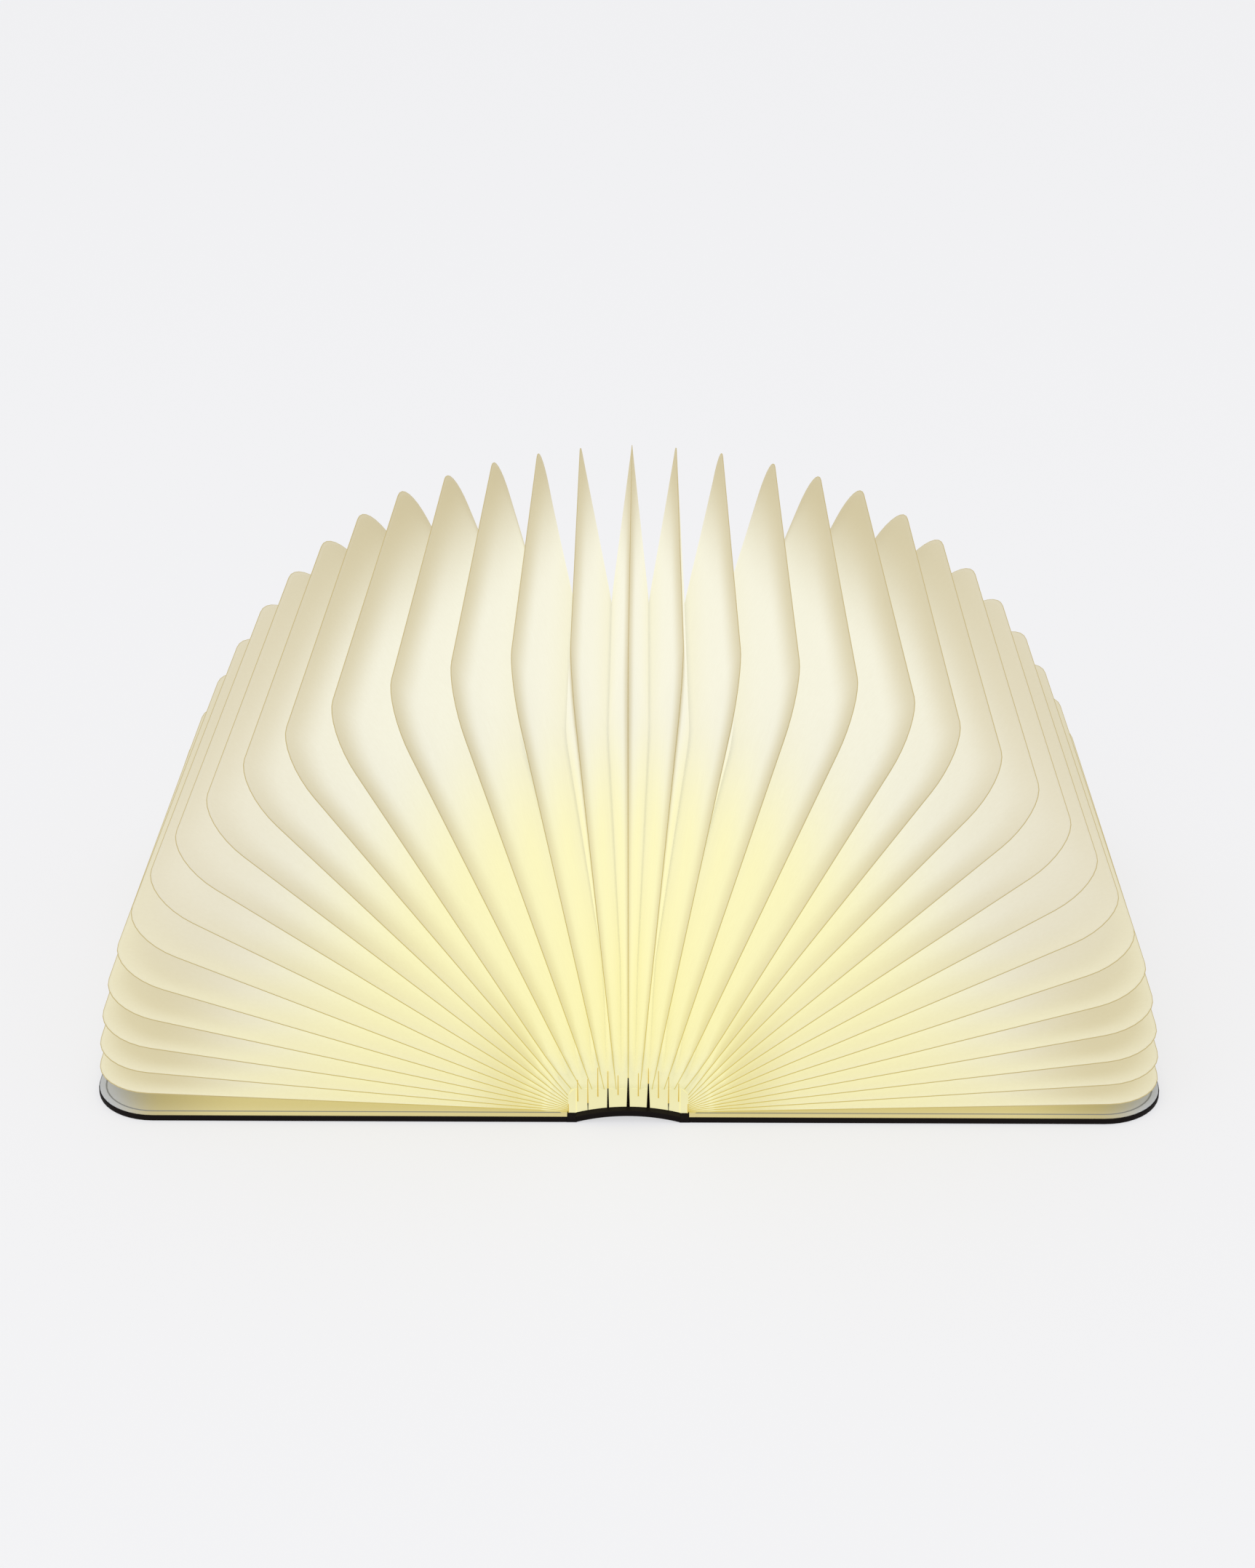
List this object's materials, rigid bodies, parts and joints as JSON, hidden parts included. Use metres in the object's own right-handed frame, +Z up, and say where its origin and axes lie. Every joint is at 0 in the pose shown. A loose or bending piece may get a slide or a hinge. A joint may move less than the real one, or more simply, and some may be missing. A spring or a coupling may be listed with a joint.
{
  "type": "folding book lamp",
  "caption": "Book-shaped lamp: hardcovers hinge open and a pleated paper lantern fans out round a rechargeable light core.",
  "frame": {"origin": "on the table under the middle of the spine, lamp lying open on its two covers", "axes": "+X across the open book to its right cover, +Y along the spine away from the viewer, +Z up"},
  "size_m": [0.375, 0.218, 0.1737],
  "materials": {
    "cover_cloth": "near-black leatherette with a fine grain",
    "greyboard": "bare grey bookbinding board",
    "liner_paper": "smooth cool-white endpaper",
    "page_paper": "tear-resistant lantern paper, warm when lit from inside",
    "gutter_paper": "folded paper at the gutter, lit from behind",
    "tray_plastic": "white moulded plastic",
    "opal_plastic": "opal diffuser",
    "circuit_board": "green solder mask",
    "led_lens": "warm white LED lens",
    "screw_steel": "plain steel",
    "socket_steel": "stamped steel shell",
    "cell_foil": "aluminium pouch foil",
    "switch_plastic": "black moulded package",
    "lead_jacket": "white jacket",
    "magnet_nickel": "nickel plate"
  },
  "bodies": {
    "spine": {"spine_board": "greyboard", "spine_wrap": "cover_cloth", "spine_liner": "liner_paper", "hinge_cloths": "cover_cloth", "near_gutter_blocks": "gutter_paper", "far_gutter_blocks": "gutter_paper", "core_tray": "tray_plastic", "core_end_caps": "tray_plastic", "core_screws": "screw_steel", "led_board": "circuit_board", "led_chips": "led_lens", "diffuser": "opal_plastic", "battery_cell": "cell_foil", "charge_board": "circuit_board", "hall_switch": "switch_plastic", "charge_socket": "socket_steel", "charge_lead": "lead_jacket", "page_centre": "page_paper"},
    "left_cover": {"left_cover_board": "greyboard", "left_cover_wrap": "cover_cloth", "left_endpaper": "liner_paper", "left_cover_magnets": "magnet_nickel"},
    "right_cover": {"right_cover_board": "greyboard", "right_cover_wrap": "cover_cloth", "right_endpaper": "liner_paper", "right_cover_magnets": "magnet_nickel"},
    "page_left_01": {"page_left_01": "page_paper"},
    "page_left_02": {"page_left_02": "page_paper"},
    "page_left_03": {"page_left_03": "page_paper"},
    "page_left_04": {"page_left_04": "page_paper"},
    "page_left_05": {"page_left_05": "page_paper"},
    "page_left_06": {"page_left_06": "page_paper"},
    "page_left_07": {"page_left_07": "page_paper"},
    "page_left_08": {"page_left_08": "page_paper"},
    "page_left_09": {"page_left_09": "page_paper"},
    "page_left_10": {"page_left_10": "page_paper"},
    "page_left_11": {"page_left_11": "page_paper"},
    "page_left_12": {"page_left_12": "page_paper"},
    "page_left_13": {"page_left_13": "page_paper"},
    "page_left_14": {"page_left_14": "page_paper"},
    "page_left_15": {"page_left_15": "page_paper"},
    "page_left_16": {"page_left_16": "page_paper"},
    "page_right_01": {"page_right_01": "page_paper"},
    "page_right_02": {"page_right_02": "page_paper"},
    "page_right_03": {"page_right_03": "page_paper"},
    "page_right_04": {"page_right_04": "page_paper"},
    "page_right_05": {"page_right_05": "page_paper"},
    "page_right_06": {"page_right_06": "page_paper"},
    "page_right_07": {"page_right_07": "page_paper"},
    "page_right_08": {"page_right_08": "page_paper"},
    "page_right_09": {"page_right_09": "page_paper"},
    "page_right_10": {"page_right_10": "page_paper"},
    "page_right_11": {"page_right_11": "page_paper"},
    "page_right_12": {"page_right_12": "page_paper"},
    "page_right_13": {"page_right_13": "page_paper"},
    "page_right_14": {"page_right_14": "page_paper"},
    "page_right_15": {"page_right_15": "page_paper"},
    "page_right_16": {"page_right_16": "page_paper"},
    "page_right_17": {"page_right_17": "page_paper"}
  },
  "joints": [
    {"name": "left_cover_hinge", "type": "hinge", "parent": "spine", "child": "left_cover", "pos_m": [-0.02, 0, 0.0011], "axis": [0, 1, 0], "range_deg": [-90, 90], "deforming": ["page_centre"]},
    {"name": "page_left_01_turn", "type": "hinge", "parent": "spine", "child": "page_left_01", "pos_m": [-0.02, 0, 0.0011], "axis": [0, 1, 0], "range_deg": [-5.9, 5.9], "deforming": ["page_left_01"]},
    {"name": "page_left_02_turn", "type": "hinge", "parent": "spine", "child": "page_left_02", "pos_m": [-0.02, 0, 0.0011], "axis": [0, 1, 0], "range_deg": [-12.18, 12.18], "deforming": ["page_left_02"]},
    {"name": "page_left_03_turn", "type": "hinge", "parent": "spine", "child": "page_left_03", "pos_m": [-0.02, 0, 0.0011], "axis": [0, 1, 0], "range_deg": [-18.77, 18.77], "deforming": ["page_left_03"]},
    {"name": "page_left_04_turn", "type": "hinge", "parent": "spine", "child": "page_left_04", "pos_m": [-0.02, 0, 0.0011], "axis": [0, 1, 0], "range_deg": [-25.55, 25.55], "deforming": ["page_left_04"]},
    {"name": "page_left_05_turn", "type": "hinge", "parent": "spine", "child": "page_left_05", "pos_m": [-0.02, 0, 0.0011], "axis": [0, 1, 0], "range_deg": [-32.42, 32.42], "deforming": ["page_left_05"]},
    {"name": "page_left_06_turn", "type": "hinge", "parent": "spine", "child": "page_left_06", "pos_m": [-0.02, 0, 0.0011], "axis": [0, 1, 0], "range_deg": [-38.4, 38.4], "deforming": ["page_left_06"]},
    {"name": "page_left_07_turn", "type": "hinge", "parent": "spine", "child": "page_left_07", "pos_m": [-0.02, 0, 0.0011], "axis": [0, 1, 0], "range_deg": [-44.4, 44.4], "deforming": ["page_left_07"]},
    {"name": "page_left_08_turn", "type": "hinge", "parent": "spine", "child": "page_left_08", "pos_m": [-0.02, 0, 0.0011], "axis": [0, 1, 0], "range_deg": [-50.37, 50.37], "deforming": ["page_left_08"]},
    {"name": "page_left_09_turn", "type": "hinge", "parent": "spine", "child": "page_left_09", "pos_m": [-0.02, 0, 0.0011], "axis": [0, 1, 0], "range_deg": [-56.23, 56.23], "deforming": ["page_left_09"]},
    {"name": "page_left_10_turn", "type": "hinge", "parent": "spine", "child": "page_left_10", "pos_m": [-0.02, 0, 0.0011], "axis": [0, 1, 0], "range_deg": [-61.89, 61.89], "deforming": ["page_left_10"]},
    {"name": "page_left_11_turn", "type": "hinge", "parent": "spine", "child": "page_left_11", "pos_m": [-0.02, 0, 0.0011], "axis": [0, 1, 0], "range_deg": [-67.28, 67.28], "deforming": ["page_left_11"]},
    {"name": "page_left_12_turn", "type": "hinge", "parent": "spine", "child": "page_left_12", "pos_m": [-0.02, 0, 0.0011], "axis": [0, 1, 0], "range_deg": [-72.34, 72.34], "deforming": ["page_left_12"]},
    {"name": "page_left_13_turn", "type": "hinge", "parent": "spine", "child": "page_left_13", "pos_m": [-0.02, 0, 0.0011], "axis": [0, 1, 0], "range_deg": [-76.97, 76.97], "deforming": ["page_left_13"]},
    {"name": "page_left_14_turn", "type": "hinge", "parent": "spine", "child": "page_left_14", "pos_m": [-0.02, 0, 0.0011], "axis": [0, 1, 0], "range_deg": [-81.11, 81.11], "deforming": ["page_left_14"]},
    {"name": "page_left_15_turn", "type": "hinge", "parent": "spine", "child": "page_left_15", "pos_m": [-0.02, 0, 0.0011], "axis": [0, 1, 0], "range_deg": [-84.67, 84.67], "deforming": ["page_left_15"]},
    {"name": "page_left_16_turn", "type": "hinge", "parent": "spine", "child": "page_left_16", "pos_m": [-0.02, 0, 0.0011], "axis": [0, 1, 0], "range_deg": [-87.6, 87.6], "deforming": ["page_left_16"]},
    {"name": "right_cover_hinge", "type": "hinge", "parent": "spine", "child": "right_cover", "pos_m": [0.02, 0, 0.0011], "axis": [0, -1, 0], "range_deg": [-90, 90]},
    {"name": "page_right_01_turn", "type": "hinge", "parent": "spine", "child": "page_right_01", "pos_m": [0.02, 0, 0.0011], "axis": [0, -1, 0], "range_deg": [-5.67, 5.67], "deforming": ["page_right_01"]},
    {"name": "page_right_02_turn", "type": "hinge", "parent": "spine", "child": "page_right_02", "pos_m": [0.02, 0, 0.0011], "axis": [0, -1, 0], "range_deg": [-11.69, 11.69], "deforming": ["page_right_02"]},
    {"name": "page_right_03_turn", "type": "hinge", "parent": "spine", "child": "page_right_03", "pos_m": [0.02, 0, 0.0011], "axis": [0, -1, 0], "range_deg": [-18, 18], "deforming": ["page_right_03"]},
    {"name": "page_right_04_turn", "type": "hinge", "parent": "spine", "child": "page_right_04", "pos_m": [0.02, 0, 0.0011], "axis": [0, -1, 0], "range_deg": [-24.5, 24.5], "deforming": ["page_right_04"]},
    {"name": "page_right_05_turn", "type": "hinge", "parent": "spine", "child": "page_right_05", "pos_m": [0.02, 0, 0.0011], "axis": [0, -1, 0], "range_deg": [-31.08, 31.08], "deforming": ["page_right_05"]},
    {"name": "page_right_06_turn", "type": "hinge", "parent": "spine", "child": "page_right_06", "pos_m": [0.02, 0, 0.0011], "axis": [0, -1, 0], "range_deg": [-36.75, 36.75], "deforming": ["page_right_06"]},
    {"name": "page_right_07_turn", "type": "hinge", "parent": "spine", "child": "page_right_07", "pos_m": [0.02, 0, 0.0011], "axis": [0, -1, 0], "range_deg": [-42.48, 42.48], "deforming": ["page_right_07"]},
    {"name": "page_right_08_turn", "type": "hinge", "parent": "spine", "child": "page_right_08", "pos_m": [0.02, 0, 0.0011], "axis": [0, -1, 0], "range_deg": [-48.2, 48.2], "deforming": ["page_right_08"]},
    {"name": "page_right_09_turn", "type": "hinge", "parent": "spine", "child": "page_right_09", "pos_m": [0.02, 0, 0.0011], "axis": [0, -1, 0], "range_deg": [-53.85, 53.85], "deforming": ["page_right_09"]},
    {"name": "page_right_10_turn", "type": "hinge", "parent": "spine", "child": "page_right_10", "pos_m": [0.02, 0, 0.0011], "axis": [0, -1, 0], "range_deg": [-59.37, 59.37], "deforming": ["page_right_10"]},
    {"name": "page_right_11_turn", "type": "hinge", "parent": "spine", "child": "page_right_11", "pos_m": [0.02, 0, 0.0011], "axis": [0, -1, 0], "range_deg": [-64.68, 64.68], "deforming": ["page_right_11"]},
    {"name": "page_right_12_turn", "type": "hinge", "parent": "spine", "child": "page_right_12", "pos_m": [0.02, 0, 0.0011], "axis": [0, -1, 0], "range_deg": [-69.73, 69.73], "deforming": ["page_right_12"]},
    {"name": "page_right_13_turn", "type": "hinge", "parent": "spine", "child": "page_right_13", "pos_m": [0.02, 0, 0.0011], "axis": [0, -1, 0], "range_deg": [-74.46, 74.46], "deforming": ["page_right_13"]},
    {"name": "page_right_14_turn", "type": "hinge", "parent": "spine", "child": "page_right_14", "pos_m": [0.02, 0, 0.0011], "axis": [0, -1, 0], "range_deg": [-78.78, 78.78], "deforming": ["page_right_14"]},
    {"name": "page_right_15_turn", "type": "hinge", "parent": "spine", "child": "page_right_15", "pos_m": [0.02, 0, 0.0011], "axis": [0, -1, 0], "range_deg": [-82.66, 82.66], "deforming": ["page_right_15"]},
    {"name": "page_right_16_turn", "type": "hinge", "parent": "spine", "child": "page_right_16", "pos_m": [0.02, 0, 0.0011], "axis": [0, -1, 0], "range_deg": [-86.01, 86.01], "deforming": ["page_right_16"]},
    {"name": "page_right_17_turn", "type": "hinge", "parent": "spine", "child": "page_right_17", "pos_m": [0.02, 0, 0.0011], "axis": [0, -1, 0], "range_deg": [-88.78, 88.78], "deforming": ["page_right_17"]}
  ],
  "couplings": [
    {"joint": "page_left_01_turn", "follows": "left_cover_hinge", "ratio": 0.06529},
    {"joint": "page_left_02_turn", "follows": "left_cover_hinge", "ratio": 0.13508},
    {"joint": "page_left_03_turn", "follows": "left_cover_hinge", "ratio": 0.20828},
    {"joint": "page_left_04_turn", "follows": "left_cover_hinge", "ratio": 0.28372},
    {"joint": "page_left_05_turn", "follows": "left_cover_hinge", "ratio": 0.36006},
    {"joint": "page_left_06_turn", "follows": "left_cover_hinge", "ratio": 0.42639},
    {"joint": "page_left_07_turn", "follows": "left_cover_hinge", "ratio": 0.49313},
    {"joint": "page_left_08_turn", "follows": "left_cover_hinge", "ratio": 0.55945},
    {"joint": "page_left_09_turn", "follows": "left_cover_hinge", "ratio": 0.6245},
    {"joint": "page_left_10_turn", "follows": "left_cover_hinge", "ratio": 0.68742},
    {"joint": "page_left_11_turn", "follows": "left_cover_hinge", "ratio": 0.74738},
    {"joint": "page_left_12_turn", "follows": "left_cover_hinge", "ratio": 0.80351},
    {"joint": "page_left_13_turn", "follows": "left_cover_hinge", "ratio": 0.85498},
    {"joint": "page_left_14_turn", "follows": "left_cover_hinge", "ratio": 0.90095},
    {"joint": "page_left_15_turn", "follows": "left_cover_hinge", "ratio": 0.9406},
    {"joint": "page_left_16_turn", "follows": "left_cover_hinge", "ratio": 0.97311},
    {"joint": "page_right_01_turn", "follows": "right_cover_hinge", "ratio": 0.06281},
    {"joint": "page_right_02_turn", "follows": "right_cover_hinge", "ratio": 0.1297},
    {"joint": "page_right_03_turn", "follows": "right_cover_hinge", "ratio": 0.19975},
    {"joint": "page_right_04_turn", "follows": "right_cover_hinge", "ratio": 0.27194},
    {"joint": "page_right_05_turn", "follows": "right_cover_hinge", "ratio": 0.34508},
    {"joint": "page_right_06_turn", "follows": "right_cover_hinge", "ratio": 0.40811},
    {"joint": "page_right_07_turn", "follows": "right_cover_hinge", "ratio": 0.47176},
    {"joint": "page_right_08_turn", "follows": "right_cover_hinge", "ratio": 0.53533},
    {"joint": "page_right_09_turn", "follows": "right_cover_hinge", "ratio": 0.59812},
    {"joint": "page_right_10_turn", "follows": "right_cover_hinge", "ratio": 0.65941},
    {"joint": "page_right_11_turn", "follows": "right_cover_hinge", "ratio": 0.71847},
    {"joint": "page_right_12_turn", "follows": "right_cover_hinge", "ratio": 0.7746},
    {"joint": "page_right_13_turn", "follows": "right_cover_hinge", "ratio": 0.82707},
    {"joint": "page_right_14_turn", "follows": "right_cover_hinge", "ratio": 0.87517},
    {"joint": "page_right_15_turn", "follows": "right_cover_hinge", "ratio": 0.9182},
    {"joint": "page_right_16_turn", "follows": "right_cover_hinge", "ratio": 0.95546},
    {"joint": "page_right_17_turn", "follows": "right_cover_hinge", "ratio": 0.98627}
  ]
}
